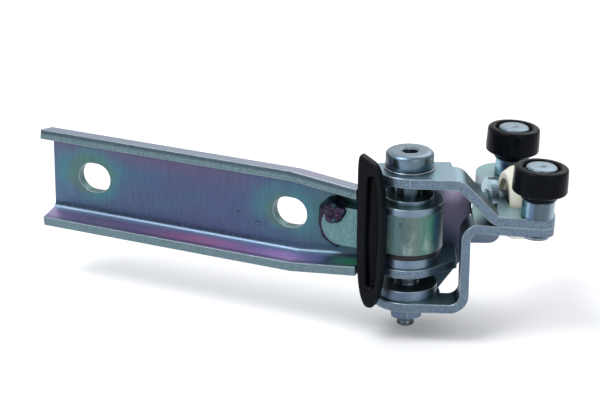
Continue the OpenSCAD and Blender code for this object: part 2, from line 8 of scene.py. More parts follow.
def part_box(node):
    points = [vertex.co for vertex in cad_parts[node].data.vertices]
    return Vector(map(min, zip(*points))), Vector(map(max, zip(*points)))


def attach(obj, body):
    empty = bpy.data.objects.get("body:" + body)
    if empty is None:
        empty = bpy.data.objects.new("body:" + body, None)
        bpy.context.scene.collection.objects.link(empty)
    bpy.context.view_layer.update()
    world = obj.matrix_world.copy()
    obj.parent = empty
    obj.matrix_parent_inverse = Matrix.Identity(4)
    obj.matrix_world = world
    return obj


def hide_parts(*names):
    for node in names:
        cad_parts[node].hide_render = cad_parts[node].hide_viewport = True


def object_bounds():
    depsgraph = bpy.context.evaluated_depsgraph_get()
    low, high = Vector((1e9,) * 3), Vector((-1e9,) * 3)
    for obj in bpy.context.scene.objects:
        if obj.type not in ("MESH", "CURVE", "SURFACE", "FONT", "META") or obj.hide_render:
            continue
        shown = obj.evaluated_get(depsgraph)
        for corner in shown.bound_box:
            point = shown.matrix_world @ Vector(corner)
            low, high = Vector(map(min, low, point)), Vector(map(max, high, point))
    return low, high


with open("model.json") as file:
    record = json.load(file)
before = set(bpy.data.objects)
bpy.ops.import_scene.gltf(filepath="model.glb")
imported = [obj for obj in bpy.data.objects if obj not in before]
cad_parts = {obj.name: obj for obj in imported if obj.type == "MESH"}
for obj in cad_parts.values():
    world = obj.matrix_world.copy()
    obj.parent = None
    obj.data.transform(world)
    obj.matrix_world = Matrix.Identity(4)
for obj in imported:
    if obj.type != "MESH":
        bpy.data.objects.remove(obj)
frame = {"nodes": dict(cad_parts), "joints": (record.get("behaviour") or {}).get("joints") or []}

mm = 0.001
nodes = frame["nodes"]
joints = {j["name"]: j for j in frame["joints"]}
cadLow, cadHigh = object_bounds()
print("frame loaded:", len(nodes), "nodes")


def nodeBox(name):
    # lowest and highest corner of a CAD node, in mm
    low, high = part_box(name)
    return np.array(low) / mm, np.array(high) / mm


pivot = np.array(joints["carriage_swing"]["pos_m"]) / mm
frontAxis = np.array(joints["front_roller_spin"]["axis"])
frontPlace = np.array(joints["front_roller_spin"]["pos_m"]) / mm
rearPlace = np.array(joints["rear_roller_spin"]["pos_m"]) / mm
loadPlace = np.array(joints["load_roller_spin"]["pos_m"]) / mm
loadAxis = np.array(joints["load_roller_spin"]["axis"])
up = np.array([0.0, 0.0, 1.0])
rollerLine = (rearPlace - frontPlace) / np.linalg.norm(rearPlace - frontPlace)


# camera fitted to the photograph
cameraFit = {
    "focalPixels": 2100.0, "imageWidth": 600, "imageHeight": 400,
    "yaw": 25.15, "pitch": 20.48, "roll": 0.47,  # degrees
    "aimBelowPivot": 2.7, "aimPixel": (407.82, 231.87), "distance": 697.8,  # mm
}


def placeCamera(fit):
    yaw, pitch, roll = (np.radians(fit[k]) for k in ("yaw", "pitch", "roll"))
    flatRight = np.array([np.cos(yaw), np.sin(yaw), 0])
    ahead = np.array([-np.sin(yaw) * np.cos(pitch), np.cos(yaw) * np.cos(pitch), -np.sin(pitch)])
    flatUp = np.cross(flatRight, ahead)
    right = flatRight * np.cos(roll) + flatUp * np.sin(roll)
    top = flatUp * np.cos(roll) - flatRight * np.sin(roll)
    aim = pivot - up * fit["aimBelowPivot"]
    aside = (fit["aimPixel"][0] - fit["imageWidth"] / 2) * fit["distance"] / fit["focalPixels"]
    above = (fit["imageHeight"] / 2 - fit["aimPixel"][1]) * fit["distance"] / fit["focalPixels"]
    eye = (aim - aside * right - above * top - fit["distance"] * ahead) * mm
    data = bpy.data.cameras.new("photoCamera")
    data.sensor_width = 36.0
    data.lens = fit["focalPixels"] * data.sensor_width / fit["imageWidth"]
    data.clip_start, data.clip_end = 0.01, 20.0
    camera = bpy.data.objects.new("photoCamera", data)
    bpy.context.scene.collection.objects.link(camera)
    turn = Matrix((right, top, -ahead)).transposed().to_4x4()
    camera.matrix_world = Matrix.Translation(Vector(eye)) @ turn
    bpy.context.scene.camera = camera


placeCamera(cameraFit)
print("camera placed")


mathNode, vectorNode, splitNode = "ShaderNodeMath", "ShaderNodeVectorMath", "ShaderNodeSeparateXYZ"
multiplyAdd = {"operation": "MULTIPLY_ADD"}


def toLinear(hexColour):
    # sRGB hex to linear RGBA
    channels = np.array([int(hexColour[i:i + 2], 16) for i in (1, 3, 5)]) / 255
    linear = np.where(channels <= 0.04045, channels / 12.92, ((channels + 0.055) / 1.055) ** 2.4)
    return (*linear.tolist(), 1.0)


def addNode(tree, kind, settings=None, inputs=None, output=0):
    # one node with its settings; each input is a link, a value or a hex colour, and "stops" fills
    # a colour ramp
    node = tree.nodes.new(kind)
    for key, value in (settings or {}).items():
        if key != "stops":
            setattr(node, key, value)
            continue
        elements = node.color_ramp.elements
        while len(elements) < len(value):
            elements.new(0.5)
        for element, (position, colour) in zip(elements, value):
            element.position = position
            element.color = toLinear(colour) if isinstance(colour, str) else (colour,) * 3 + (1,)
    for key, value in (inputs or {}).items():
        if isinstance(value, bpy.types.NodeSocket):
            tree.links.new(value, node.inputs[key])
        else:
            node.inputs[key].default_value = toLinear(value) if isinstance(value, str) else value
    return node.outputs[output] if node.outputs else node


def newMaterial(name):
    material = bpy.data.materials.new(name)
    material.use_nodes = True
    tree = material.node_tree
    tree.nodes.clear()
    surface = addNode(tree, "ShaderNodeBsdfPrincipled")
    addNode(tree, "ShaderNodeOutputMaterial", inputs={"Surface": surface})
    place = addNode(tree, "ShaderNodeTexCoord", output="Object")
    return material, tree, surface.node, place


def clouds(tree, place, sizeMm, detail=3.0, rough=0.55, stretch=(1, 1, 1)):
    # noise whose blobs are about sizeMm across, drawn out along an axis by stretch
    drawn = addNode(tree, "ShaderNodeMapping", inputs={0: place, "Scale": tuple(1 / s for s in stretch)})
    return addNode(tree, "ShaderNodeTexNoise", inputs={"Vector": drawn, "Scale": 1 / (sizeMm * mm),
                   "Detail": detail, "Roughness": rough})


def mask(tree, *steps):
    # product of smooth steps (source, low, high), 0 at low and 1 at high; low may be the larger,
    # and a step may also be a mask made before or a plain strength
    result = None
    for step in steps:
        if isinstance(step, tuple):
            step = addNode(tree, "ShaderNodeMapRange", {"interpolation_type": "SMOOTHSTEP"},
                           {"Value": step[0], "From Min": step[1], "From Max": step[2]})
        if result is not None:
            step = addNode(tree, mathNode, {"operation": "MULTIPLY"}, {0: result, 1: step})
        result = step
    return result


def layer(tree, colour, over, *steps, blend="MIX"):
    # a colour laid over another where the steps' mask says; over may be (source, stops), a ramp of colours
    if isinstance(over, tuple):
        over = addNode(tree, "ShaderNodeValToRGB", {"stops": over[1]}, {0: over[0]})
    return addNode(tree, "ShaderNodeMix", {"data_type": "RGBA", "blend_type": blend, "clamp_factor": True},
                   {0: mask(tree, *steps), 6: colour, 7: over}, 2)


acrossPhoto = (0.905, 0.425, 0.0)  # level direction to the photograph's right
restAngle = np.radians(24.0)  # carriage to arm, as modelled
carriageBack = (-np.sin(restAngle), np.cos(restAngle), 0.0)


def distanceAlongWeb(tree, placeMm, atX, atZ, squeeze):
    # distance in mm from a point of the arm's web, measured in its plane, with x taken squeeze times as long
    offset = addNode(tree, vectorNode, {"operation": "SUBTRACT"}, {0: placeMm, 1: (atX, 0, atZ)})
    flat = addNode(tree, vectorNode, {"operation": "MULTIPLY"}, {0: offset, 1: (squeeze, 0, 1)})
    return addNode(tree, vectorNode, {"operation": "LENGTH"}, {0: flat}, "Value")


def shearGrain(tree, place, pale, deep):
    # torn zone of a sheared edge: half-millimetre crystalline grain with glints
    grain = clouds(tree, place, 0.5, 4.0, 0.85)
    return grain, ((0.35, deep), (0.48, pale), (0.6, pale), (0.74, "#b4bfc5"))


def tintArm(tree, place, facing, colour, drift, look):
    # the passivation's interference colours follow the pressed shape: halos round the slots, purple under the
    # top flange and on the lower one, pale grain on the sheared tips; painted shade near the bends, in the
    # punch marks and on the rolled top tip, a painted dark line at the lower bend, painted highlights along
    # that bend and on the punch marks, and painted light on the top flange's upper face; places in mm
    placeMm = addNode(tree, vectorNode, {"operation": "SCALE"}, {0: place, "Scale": 1 / mm})
    x, y, z = addNode(tree, splitNode, inputs={0: placeMm}).node.outputs
    _, ny, nz = addNode(tree, splitNode, inputs={0: facing}).node.outputs
    length = addNode(tree, "ShaderNodeMapRange", inputs={"Value": x, "From Min": -55, "From Max": 66})
    # height above the arm's middle, with the taper of its inner end taken out
    past = addNode(tree, mathNode, {"operation": "SUBTRACT"}, {0: x, 1: look["taperFrom"]})
    past = addNode(tree, mathNode, {"operation": "MAXIMUM"}, {0: past, 1: 0.0})
    height = addNode(tree, mathNode, {"operation": "ABSOLUTE"}, {0: z})
    height = addNode(tree, mathNode, multiplyAdd, {0: past, 1: look["taper"], 2: height})
    isTop = mask(tree, (z, -1, 1))
    onLower = addNode(tree, mathNode, {"operation": "SUBTRACT"}, {0: 1.0, 1: isTop})
    wander = addNode(tree, mathNode, {"operation": "SUBTRACT"}, {0: drift, 1: 0.5})
    shifted = addNode(tree, mathNode, multiplyAdd, {0: wander, 1: 0.5, 2: length})
    web = layer(tree, colour, (shifted, look["along"]), 0.7)
    wavyHeight = addNode(tree, mathNode, multiplyAdd, {0: wander, 1: 16, 2: height})
    web = layer(tree, web, look["purple"], (wavyHeight, 1, 11), isTop, (x, 45, -5), 0.75)
    patchy = mask(tree, (clouds(tree, place, 14, 3.0, 0.6), 0.36, 0.58))
    for slotX in look["slots"]:
        away = distanceAlongWeb(tree, placeMm, slotX - 2, 0, 0.8)
        wavy = addNode(tree, mathNode, multiplyAdd, {0: wander, 1: 14, 2: away})
        web = layer(tree, web, look["halo"], (wavy, 13, 7), patchy, 0.6)
        web = layer(tree, web, look["haloRim"], (wavy, 7.6, 5.6), 0.55)
    frontFace = mask(tree, (ny, -0.5, -0.9))
    # painted shade on the web's front face near both bends
    web = layer(tree, web, look["shade"], (height, 9.5, 12.5), frontFace, 0.55)
    grainy = clouds(tree, place, 0.6, 3.0, 0.7)
    # painted shade: a dark grainy line where the web turns into the lower bend
    web = layer(tree, web, look["groove"], (height, 10.8, 11.8), (height, 13.8, 12.6), frontFace,
                (x, 36, 20), (grainy, 0.62, 0.4), 0.8)
    # punch marks: painted shade round each dent and a painted glint on its lower side
    for markX, markZ in look["punched"]:
        away = distanceAlongWeb(tree, placeMm, markX, markZ, 1)
        web = layer(tree, web, look["shade"], (away, 1.1, 0.6), 0.7)
        web = layer(tree, web, look["markGlint"], (away, 0.5, 0.35), (z, markZ - 0.2, markZ - 0.3))
    flange = mask(tree, (y, -4.2, -5.6), onLower, (height, 9, 12), (nz, 0.6, 0.9))
    patches = addNode(tree, "ShaderNodeValToRGB", {"stops": ((0.42, 0.0), (0.58, 0.6))}, {0: drift})
    mottled = addNode(tree, "ShaderNodeValToRGB", {"stops": look["flange"]}, {0: length})
    web = layer(tree, web, layer(tree, mottled, look["flangeBlue"], patches), flange)
    web = layer(tree, web, look["lip"], flange, (y, -9.4, -10.5), 0.6)
    # painted highlight along the lower bend, where it faces the lamp
    web = layer(tree, web, look["crest"], (y, -3.3, -4.0), (y, -6.6, -5.2), onLower, (nz, 0.3, 0.75), 0.7)
    onTip = mask(tree, (y, -9.8, -10.4), (ny, -0.6, -0.85))
    web = layer(tree, web, shearGrain(tree, place, look["tip"], look["tipDeep"]), onTip)
    # painted shade along the top of the upper flange's sheared tip, where it rolls over
    web = layer(tree, web, look["tipRolled"], onTip, isTop, (height, 15.9, 16.8), 0.75)
    # painted light: the top flange's upward face is paler, as if lit from above
    return layer(tree, web, (length, look["outer"]), (nz, 0.6, 0.85), isTop, (height, 12, 13.5))


def tintCarriage(tree, place, facing, colour, drift, look):
    # the bracket sheets: painted light on the level tops, paler and greener there; painted shade on the
    # sloped and downward faces; purple in the deep rear web, painted darker towards its bottom as shade and
    # with a painted highlight; torn grain on the front edges; places in mm from the pivot, along the carriage
    placeMm = addNode(tree, vectorNode, {"operation": "SCALE"}, {0: place, "Scale": 1 / mm})
    local = addNode(tree, "ShaderNodeMapping", {"vector_type": "TEXTURE"},
                    {0: placeMm, "Location": pivot.tolist(), "Rotation": (0, 0, restAngle)})
    x, y, z = addNode(tree, splitNode, inputs={0: local}).node.outputs
    nz = addNode(tree, splitNode, inputs={0: facing}, output="Z")
    back = addNode(tree, vectorNode, {"operation": "DOT_PRODUCT"}, {0: facing, 1: carriageBack}, "Value")
    # painted shade on the sloped faces
    colour = layer(tree, colour, look["slope"], (nz, 0.5, 0.68))
    # painted light on the level tops, greener on the lower bracket's
    level = mask(tree, (nz, 0.78, 0.95))
    colour = layer(tree, colour, (drift, look["top"]), level)
    colour = layer(tree, colour, (drift, look["low"]), level, (z, 12, 9))
    # painted shade on the downward faces
    colour = layer(tree, colour, look["under"], (nz, -0.6, -0.9))
    front = mask(tree, (back, -0.5, -0.8))
    deep = mask(tree, front, (y, 4, 8))
    height = addNode(tree, "ShaderNodeMapRange", inputs={"Value": z, "From Min": -25, "From Max": 20})
    wander = addNode(tree, mathNode, {"operation": "SUBTRACT"}, {0: drift, 1: 0.5})
    shadedHeight = addNode(tree, mathNode, multiplyAdd, {0: wander, 1: 0.5, 2: height})
    # the rear web's purple, painted darker towards the bottom as shade
    colour = layer(tree, colour, (shadedHeight, look["web"]), deep)
    # painted highlight on the rear web's upper part
    colour = layer(tree, colour, look["webShine"], deep, (x, 11, 15.5), (x, 21, 16.5), (z, 2, 9), 0.75)
    return layer(tree, colour, shearGrain(tree, place, look["edgePale"], look["edgeDeep"]),
                 front, (y, -7.5, -9.5), 0.85)


def tintRound(tree, place, facing, colour, drift, look):
    # turned parts: plating streaks that run along the axis, and painted reflection bands, dark and light
    # round the circumference by which way each face turns; painted light and shade on the up-facing faces;
    # painted shade down the bolt's shaft
    # painted reflections: the colour follows each face's turn towards one level direction
    turned = addNode(tree, vectorNode, {"operation": "DOT_PRODUCT"}, {0: facing, 1: acrossPhoto}, "Value")
    turned = addNode(tree, mathNode, multiplyAdd, {0: turned, 1: 0.5, 2: 0.5})
    streak = clouds(tree, place, 0.9, 3.0, 0.6, (1, 1, 30))
    streak = addNode(tree, mathNode, {"operation": "SUBTRACT"}, {0: streak, 1: 0.5})
    turned = addNode(tree, mathNode, multiplyAdd, {0: streak, 1: 0.12, 2: turned})
    colour = layer(tree, colour, (turned, look["round"]), 0.85)
    placeMm = addNode(tree, vectorNode, {"operation": "SCALE"}, {0: place, "Scale": 1 / mm})
    x, _, z = addNode(tree, splitNode, inputs={0: placeMm}).node.outputs
    nz = addNode(tree, splitNode, inputs={0: facing}, output="Z")
    if "stains" in look:
        pale = clouds(tree, place, 5.5, 3.0, 0.6, (1, 1, 2.5))
        colour = layer(tree, colour, look["light"], (pale, 0.5, 0.68), look["stains"])
        blots = clouds(tree, place, 2.6, 4.0, 0.75, (1, 1, 1.8))
        colour = layer(tree, colour, look["dark"], (blots, 0.58, 0.7), look["stains"])
    # painted light and shade on the up-facing faces
    colour = layer(tree, colour, look["top"], (nz, 0.7, 0.9))
    # painted shade down the bolt's shaft below the top plate
    if "shaft" in look:
        colour = layer(tree, colour, look["shaft"], (z, look["shaftTop"], look["shaftTop"] - 0.5), 0.6)
    if "tongue" in look:
        grain = shearGrain(tree, place, look["tongue"], look["tongueDeep"])
        colour = layer(tree, colour, grain, (x, 69.5, 67))
    return colour


def makeMetal(look):
    # plated steel: drifting tints, fine grain, dull specks, painted shade just inside the edges, bright edges
    # that are partly wear and partly painted highlight, painted shade in crevices
    material, tree, shader, place = newMaterial(look["name"])
    facing = addNode(tree, "ShaderNodeTexCoord", output="Normal")
    rounded = addNode(tree, "ShaderNodeBevel", {"samples": 4}, {"Radius": 0.65 * mm})
    plain = addNode(tree, "ShaderNodeNewGeometry", output="Normal")
    straight = addNode(tree, vectorNode, {"operation": "DOT_PRODUCT"}, {0: rounded, 1: plain}, "Value")
    openness = addNode(tree, "ShaderNodeAmbientOcclusion", {"samples": 8},
                       {"Distance": look.get("creviceMm", 6) * mm}, "AO")
    drift = clouds(tree, place, look["driftMm"], 2.5, 0.5, look.get("stretch", (1, 1, 1)))
    colour = addNode(tree, "ShaderNodeValToRGB", {"stops": look["drift"]}, {0: drift})
    if "tint" in look:
        colour = look["tint"](tree, place, facing, colour, drift, look)
    if "streaks" in look:
        # drawn and brushed sheet shows fine lines along its height, drawn wider than they are
        brushed = clouds(tree, place, 0.45, 3.0, 0.6, (1, 1, 14))
        colour = layer(tree, colour, (brushed, ((0.35, look["dark"]), (0.65, look["light"]))),
                       look["streaks"], blend="SOFT_LIGHT")
        colour = layer(tree, colour, (brushed, ((0.3, "#000000"), (0.7, "#ffffff"))),
                       look["streaks"], blend="OVERLAY")
    grain = clouds(tree, place, look["grainMm"], 4.0, 0.7)
    colour = layer(tree, colour, (grain, ((0.3, look["dark"]), (0.7, look["light"]))), look["grain"],
                   blend="OVERLAY")
    specks = addNode(tree, "ShaderNodeValToRGB", {"stops": ((0.58, 0.0), (0.72, 1.0))},
                     {0: clouds(tree, place, look["speckMm"], 5.0, 0.75)})
    colour = layer(tree, colour, look["dark"], specks, look["speck"])
    # painted shade: a thin dark band where each edge begins to round off
    colour = layer(tree, colour, look["dark"], (straight, 0.996, 0.975), 0.45)
    # straight is 1 on flat faces and falls at an edge, where the bevel node turns the normal
    # bright edges: partly rubbed wear, partly a painted highlight where the edge turns to the light
    colour = layer(tree, colour, look["edge"], (straight, 0.95, 0.82), (grain, 0.25, 0.45),
                   look.get("worn", 0.8))
    # painted shade in crevices, corners and between parts, where the ambient occlusion finds them closed in
    colour = layer(tree, colour, look["dark"], (openness, 0.85, 0.2), look.get("creviceDepth", 0.75))
    tree.links.new(colour, shader.inputs["Base Color"])
    rough = addNode(tree, "ShaderNodeMapRange", inputs={"Value": grain, "From Min": 0.3, "From Max": 0.7,
                    "To Min": look["rough"][0], "To Max": look["rough"][1]})
    tree.links.new(rough, shader.inputs["Roughness"])
    shader.inputs["Metallic"].default_value = look["metallic"]
    bump = addNode(tree, "ShaderNodeBump",
                   inputs={"Distance": look["bumpMm"] * mm, "Height": grain, "Normal": rounded})
    tree.links.new(bump, shader.inputs["Normal"])
    return material


plates = {
    # pressed sheet, zinc plated and passivated: a thin clear film gives blue, purple and green
    # interference tints
    "arm": {
        "name": "iridescentZincPlatedSheet", "tint": tintArm, "driftMm": 20, "stretch": (2.0, 1, 1),
        "grainMm": 0.55, "speckMm": 2.2,
        "drift": ((0.3, "#466480"), (0.45, "#4f5a7c"), (0.55, "#5a5472"), (0.7, "#466c74")),
        "along": ((0.0, "#557089"), (0.2, "#4a647c"), (0.45, "#4d587a"), (0.6, "#4b5a7c"),
                  (0.78, "#41647a"), (1.0, "#406a66")), "slots": (-38, 38), "halo": "#468082",
        "haloRim": "#57715c", "purple": "#665a75", "shade": "#354459", "groove": "#1a2736",
        "punched": ((18.5, -3.3), (25.7, -5.9)), "markGlint": "#93a5ae", "taperFrom": 41, "taper": 0.1086,
        "flange": ((0.0, "#b09ac0"), (0.15, "#9c82a6"), (0.5, "#d69cc2"), (0.8, "#e6bcf2"),
                   (0.875, "#9c94c8"), (0.905, "#1c3430"), (0.94, "#4fd090"), (1.0, "#46bc84")),
        "flangeBlue": "#8292bc", "lip": "#6f7392", "crest": "#9db4cc", "tip": "#6f868c",
        "tipDeep": "#47585e", "tipRolled": "#414e5b",
        "outer": ((0.0, "#71839a"), (0.6, "#7c8d9e"), (0.85, "#918ea6"), (1.0, "#8092a0")),
        "dark": "#2a3440", "light": "#b9c5ce", "grain": 0.3, "speck": 0.22, "rough": (0.3, 0.44),
        "edge": "#b8c9d0", "worn": 0.7, "creviceDepth": 0.45, "creviceMm": 4, "streaks": 0.07,
        "metallic": 0.85, "bumpMm": 0.02,
    },
    # pressed sheet, blue zinc plated: pale blue-grey faces, sheared edges coarse and crystalline
    "bracket": {
        "name": "blueZincPlatedSheet", "tint": tintCarriage, "driftMm": 12, "grainMm": 0.5, "speckMm": 1.8,
        "drift": ((0.3, "#596a7c"), (0.45, "#65778a"), (0.58, "#6d7f8b"), (0.72, "#635f7c")),
        "slope": "#566a72", "top": ((0.35, "#7fa2b2"), (0.6, "#869fab")),
        "low": ((0.35, "#7ea59c"), (0.6, "#7f9ca4")), "under": "#2f3e45", "creviceDepth": 0.6,
        "web": ((0.0, "#33434e"), (0.35, "#4a5064"), (0.55, "#6a6478"), (0.7, "#857c92"),
                (0.85, "#a79cb8"), (1.0, "#b2aac4")), "webShine": "#cbbfe0", "edgePale": "#687888",
        "edgeDeep": "#384451", "dark": "#1e2a32", "light": "#b4c2ca", "grain": 0.3, "speck": 0.2,
        "rough": (0.28, 0.42), "edge": "#bdced8", "worn": 0.9, "metallic": 0.9, "bumpMm": 0.02,
    },
    # forging turned outside, zinc plated: green and teal, with painted reflection bands round the barrel that
    # go dark as painted shade on the side towards the seal, and stains down the barrel
    "knuckle": {
        "name": "greenZincPlatedForging", "tint": tintRound, "driftMm": 9, "grainMm": 0.45, "speckMm": 1.6,
        "drift": ((0.3, "#4f6568"), (0.5, "#5f7a7c"), (0.65, "#587276"), (0.8, "#4a6a70")),
        "round": ((0.0, "#1d292e"), (0.2, "#22323a"), (0.3, "#587476"), (0.4, "#536766"),
                  (0.58, "#6a7875"), (0.72, "#567f70"), (0.81, "#549078"), (0.87, "#5590ab"),
                  (0.92, "#4a6c84"), (1.0, "#2c4646")), "top": "#64797c", "tongue": "#6d9095",
        "tongueDeep": "#4c6a6e", "streaks": 0.08, "stains": 0.5, "dark": "#1b272b", "light": "#a4b6b4",
        "grain": 0.35, "speck": 0.25, "rough": (0.34, 0.5), "edge": "#9fb4b4", "creviceDepth": 0.4,
        "creviceMm": 4, "metallic": 0.85, "bumpMm": 0.03,
    },
    # turned steel, bright zinc plated: smooth, with hard painted reflection bands, light and dark, round it,
    # and painted shade down the shaft
    "bright": {
        "name": "brightZincPlatedTurnedSteel", "tint": tintRound, "driftMm": 8, "grainMm": 0.4,
        "speckMm": 1.4, "drift": ((0.3, "#5c6c78"), (0.5, "#6b7b86"), (0.7, "#62747e")),
        "round": ((0.0, "#1d2932"), (0.12, "#2f3d4a"), (0.26, "#75899c"), (0.38, "#677b8e"),
                  (0.5, "#5c6d7b"), (0.7, "#57686f"), (0.85, "#4a5b60"), (0.95, "#7c8f95"),
                  (1.0, "#56666c")), "top": "#788b97", "shaft": "#26333a", "shaftTop": 19.8,
        "creviceDepth": 0.5, "creviceMm": 3, "dark": "#141c22", "light": "#b5c3cb", "grain": 0.25,
        "speck": 0.15, "rough": (0.22, 0.34), "edge": "#c3d1d8", "metallic": 0.95, "bumpMm": 0.01,
    },
    # turned steel, chromate dipped: near mirror, with painted reflection bands round it, the first blue-green
    "stem": {
        "name": "chromateDippedStems", "tint": tintRound, "driftMm": 8, "grainMm": 0.4, "speckMm": 1.4,
        "drift": ((0.3, "#8aa0ac"), (0.7, "#9fb0bb")),
        "round": ((0.0, "#6fa0a8"), (0.12, "#9fc6d6"), (0.22, "#4d6688"), (0.36, "#2c3644"),
                  (0.5, "#39444f"), (0.62, "#323f4a"), (0.78, "#4a5b6a"), (0.88, "#8a9ba6"),
                  (1.0, "#8898a2")), "top": "#7c8f9c", "creviceDepth": 0.35, "creviceMm": 3,
        "dark": "#202a31", "light": "#c5d2d8", "grain": 0.2, "speck": 0.12, "rough": (0.2, 0.32),
        "edge": "#cad9e2", "metallic": 0.95, "bumpMm": 0.008,
    },
    # turned rings, zinc plated: finer and duller than the bolt
    "ring": {
        "name": "zincPlatedRings", "tint": tintRound, "driftMm": 6, "grainMm": 0.4, "speckMm": 1.2,
        "drift": ((0.3, "#5a6b78"), (0.5, "#687a88"), (0.7, "#5d7078")),
        "round": ((0.0, "#2b3845"), (0.14, "#465468"), (0.3, "#8395aa"), (0.45, "#6a7b90"),
                  (0.7, "#7a8e9a"), (0.86, "#5b7480"), (0.95, "#2a3d44"), (1.0, "#30424a")),
        "top": "#64817f", "creviceDepth": 0.35, "creviceMm": 3, "dark": "#161f25", "light": "#a9b8c0",
        "grain": 0.3, "speck": 0.2, "rough": (0.26, 0.4), "edge": "#b3c5cf", "metallic": 0.9,
        "bumpMm": 0.012,
    },
    # stamped and tumbled disc: granular rim
    "disc": {
        "name": "stampedClampDisc", "tint": tintRound, "driftMm": 6, "grainMm": 0.45, "speckMm": 1.2,
        "drift": ((0.3, "#5c6c7d"), (0.5, "#6b7c90"), (0.7, "#62727a")),
        "round": ((0.0, "#505d6a"), (0.2, "#6a788d"), (0.45, "#5e6f84"), (0.65, "#7b8b9b"),
                  (0.8, "#8490a7"), (0.9, "#3f4d5e"), (1.0, "#37454e")), "top": "#576a70",
        "creviceDepth": 0.6, "creviceMm": 4, "dark": "#1a242b", "light": "#bccad2", "grain": 0.5,
        "speck": 0.3, "rough": (0.3, 0.45), "edge": "#b9c7d6", "metallic": 0.9, "bumpMm": 0.03,
    },
    # arc-weld metal left as it cooled: near black, with purple and teal heat tints
    "weld": {
        "name": "heatTintedWeldMetal", "driftMm": 3, "grainMm": 0.35, "speckMm": 1.1,
        "drift": ((0.32, "#1b1925"), (0.45, "#4a3656"), (0.54, "#2c2a3c"), (0.64, "#2c646a"),
                  (0.72, "#5a8068")), "dark": "#0d0c12", "light": "#a9a8b4", "grain": 0.6, "speck": 0.5,
        "rough": (0.16, 0.34), "edge": "#7a6a8c", "metallic": 0.8, "bumpMm": 0.08,
    },
    # sintered bronze bushes: dull brown and porous
    "bronze": {
        "name": "sinteredBronze", "driftMm": 4, "grainMm": 0.3, "speckMm": 0.8,
        "drift": ((0.3, "#6b5334"), (0.7, "#8a6f49")), "dark": "#3b2e1e", "light": "#c0a577", "grain": 0.5,
        "speck": 0.3, "rough": (0.45, 0.6), "edge": "#b79a6a", "metallic": 0.85, "bumpMm": 0.02,
    },
}
metal = {key: makeMetal(look) for key, look in plates.items()}


def makePlastic(look):
    # moulded or rubber surface: even colour with faint clouds, fine grain, greyed wear patches, painted shade
    # in crevices
    material, tree, shader, place = newMaterial(look["name"])
    openness = addNode(tree, "ShaderNodeAmbientOcclusion", {"samples": 8}, {"Distance": 5 * mm}, "AO")
    cloud = clouds(tree, place, look["cloudMm"], 3.0, 0.6)
    stops = (0.35, look["colour"]), (0.7, look["worn"])
    colour = addNode(tree, "ShaderNodeValToRGB", {"stops": stops}, {0: cloud})
    grain = clouds(tree, place, look["grainMm"], 4.0, 0.6)
    colour = layer(tree, colour, (grain, ((0.3, look["colour"]), (0.75, look["worn"]))), look["grain"])
    # painted shade in crevices and recesses, where the ambient occlusion finds them closed in
    colour = layer(tree, colour, look["dark"], (openness, 0.9, 0.3), look.get("creviceDepth", 0.7))
    tree.links.new(colour, shader.inputs["Base Color"])
    rough = addNode(tree, "ShaderNodeMapRange", inputs={"Value": cloud, "From Min": 0.3, "From Max": 0.7,
                    "To Min": look["rough"][0], "To Max": look["rough"][1]})
    tree.links.new(rough, shader.inputs["Roughness"])
    shader.inputs["Specular IOR Level"].default_value = look["shine"]
    rounded = addNode(tree, "ShaderNodeBevel", {"samples": 4}, {"Radius": 0.4 * mm})
    bump = addNode(tree, "ShaderNodeBump",
                   inputs={"Distance": look["bumpMm"] * mm, "Height": grain, "Normal": rounded})
    tree.links.new(bump, shader.inputs["Normal"])
    return material


plastics = {
    # moulded nylon: deep black with a soft rim highlight
    "tyre": {
        "name": "glossyBlackNylon", "cloudMm": 7, "grainMm": 0.5, "colour": "#05070b", "worn": "#0b0f15",
        "dark": "#020203", "grain": 0.3, "rough": (0.2, 0.3), "shine": 0.05, "bumpMm": 0.006,
    },
    # moulded nylon, unfilled: cream, slightly greyed where it runs
    "nylon": {
        "name": "creamMouldedNylon", "cloudMm": 8, "grainMm": 0.6, "colour": "#d5d5c2", "worn": "#e2e3d8",
        "dark": "#a39678", "grain": 0.3, "rough": (0.35, 0.5), "shine": 0.4, "bumpMm": 0.01,
        "creviceDepth": 0.4,
    },
    # moulded rubber: matt blue-black with a faint bloom
    "rubber": {
        "name": "mouldedBlackRubber", "cloudMm": 12, "grainMm": 0.7, "colour": "#05070b",
        "worn": "#0e1219", "dark": "#010102", "grain": 0.4, "rough": (0.34, 0.5), "shine": 0.08,
        "bumpMm": 0.015,
    },
    # moulded acetal: waxy black
    "acetal": {
        "name": "blackMouldedAcetal", "cloudMm": 6, "grainMm": 0.5, "colour": "#0d0f12", "worn": "#1a1c20",
        "dark": "#020202", "grain": 0.3, "rough": (0.35, 0.5), "shine": 0.25, "bumpMm": 0.01,
    },
}
plastic = {key: makePlastic(look) for key, look in plastics.items()}
print("materials made")

finishes = {
    "channel_arm": metal["arm"], "pivot_knuckle": metal["knuckle"], "tongue_weld": metal["weld"],
    "rubber_seal": plastic["rubber"], "upper_bush": metal["ring"], "lower_bush": plastic["acetal"],
    "thrust_ring": metal["ring"], "spacer_ring": metal["ring"], "pivot_bolt": metal["bright"],
    "head_washer": metal["bright"], "clamp_disc": metal["disc"], "pivot_nut": metal["disc"],
    "upper_bracket": metal["bracket"], "jaw_plate": metal["bracket"], "jaw_weld": metal["weld"],
    "lower_bracket": metal["bracket"], "axle_plate": metal["stem"],
    "front_roller_stem": metal["stem"], "rear_roller_stem": metal["stem"],
    "front_guide_roller": plastic["tyre"], "rear_guide_roller": plastic["tyre"],
    "front_roller_bush": metal["bronze"], "rear_roller_bush": metal["bronze"],
    "load_roller_axle": metal["stem"], "load_roller": plastic["nylon"],
    "load_roller_bush": metal["bronze"], "load_roller_spacer": metal["stem"],
}
for name, material in finishes.items():
    piece = nodes[name]
    piece.data.materials.clear()
    piece.data.materials.append(material)


